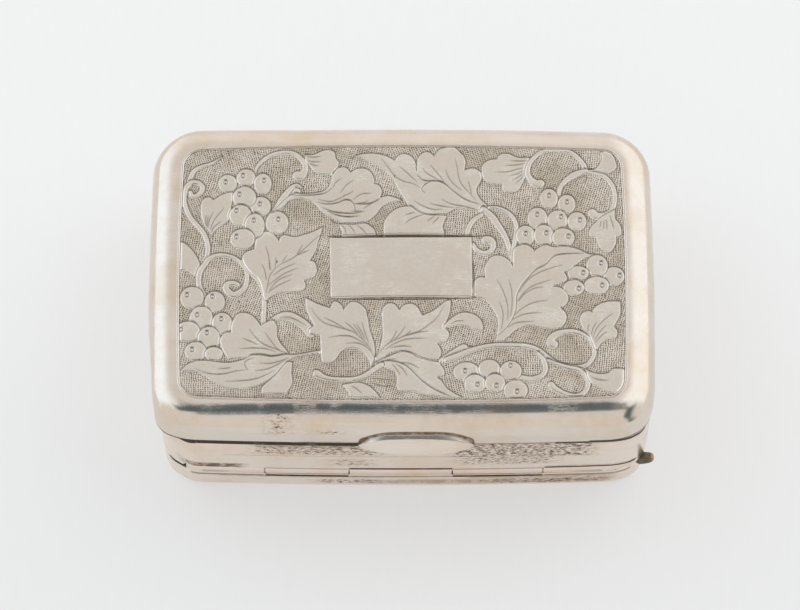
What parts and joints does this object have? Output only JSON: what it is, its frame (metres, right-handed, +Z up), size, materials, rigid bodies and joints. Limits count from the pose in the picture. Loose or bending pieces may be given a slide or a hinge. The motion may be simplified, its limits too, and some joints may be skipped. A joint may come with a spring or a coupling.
{
  "type": "vinaigrette box",
  "caption": "Small silver box with a hinged engraved lid over a pierced gilt grille and sponge, and a second hinged lid that closes a shallow compartment underneath.",
  "frame": {"origin": "centre of the flat underside of the lower lid", "axes": "+X along the length to the right as seen from the thumbpiece side, -Y towards the thumbpiece, +Z up"},
  "size_m": [0.045, 0.0318, 0.0146],
  "materials": {
    "silver": "worn polish",
    "engraved_silver": "engraved",
    "dull_silver": "dull",
    "gilt": "satin gilding",
    "sponge": "porous"
  },
  "bodies": {
    "case": {"case_wall": "silver", "divider_floor": "gilt", "lower_bezel": "gilt", "upper_bezel": "gilt", "grille_ledge": "gilt", "sponge": "sponge", "case_knuckle_rear_left": "silver", "case_knuckle_rear_right": "silver", "lid_hinge_pin": "dull_silver", "case_knuckle_front_left": "silver", "case_knuckle_front_right": "silver", "base_hinge_pin": "dull_silver", "ledge_knuckle_left": "gilt", "ledge_knuckle_right": "gilt", "grille_hinge_pin": "dull_silver"},
    "lid": {"lid_frame": "silver", "lid_plate": "engraved_silver", "thumbpiece": "silver", "lid_knuckle_left": "silver", "lid_knuckle_middle": "silver", "lid_knuckle_right": "silver"},
    "base_lid": {"base_tray": "silver", "base_lip": "silver", "corner_lug": "gilt", "base_knuckle_left": "silver", "base_knuckle_middle": "silver", "base_knuckle_right": "silver"},
    "grille": {"grille_plate": "gilt", "grille_tab": "gilt", "grille_knuckle": "gilt"}
  },
  "joints": [
    {"name": "lid_hinge", "type": "hinge", "parent": "case", "child": "lid", "pos_m": [0, 0.01463, 0.011], "axis": [-1, 0, 0], "range_deg": [0, 100]},
    {"name": "base_lid_hinge", "type": "hinge", "parent": "case", "child": "base_lid", "pos_m": [0, -0.0145, 0.004], "axis": [-1, 0, 0], "range_deg": [0, 100]},
    {"name": "grille_hinge", "type": "hinge", "parent": "case", "child": "grille", "pos_m": [0, 0.01285, 0.01014], "axis": [-1, 0, 0], "range_deg": [0, 75]}
  ],
  "couplings": [
    {"joint": "grille_hinge", "follows": "lid_hinge", "ratio": 0.75}
  ]
}
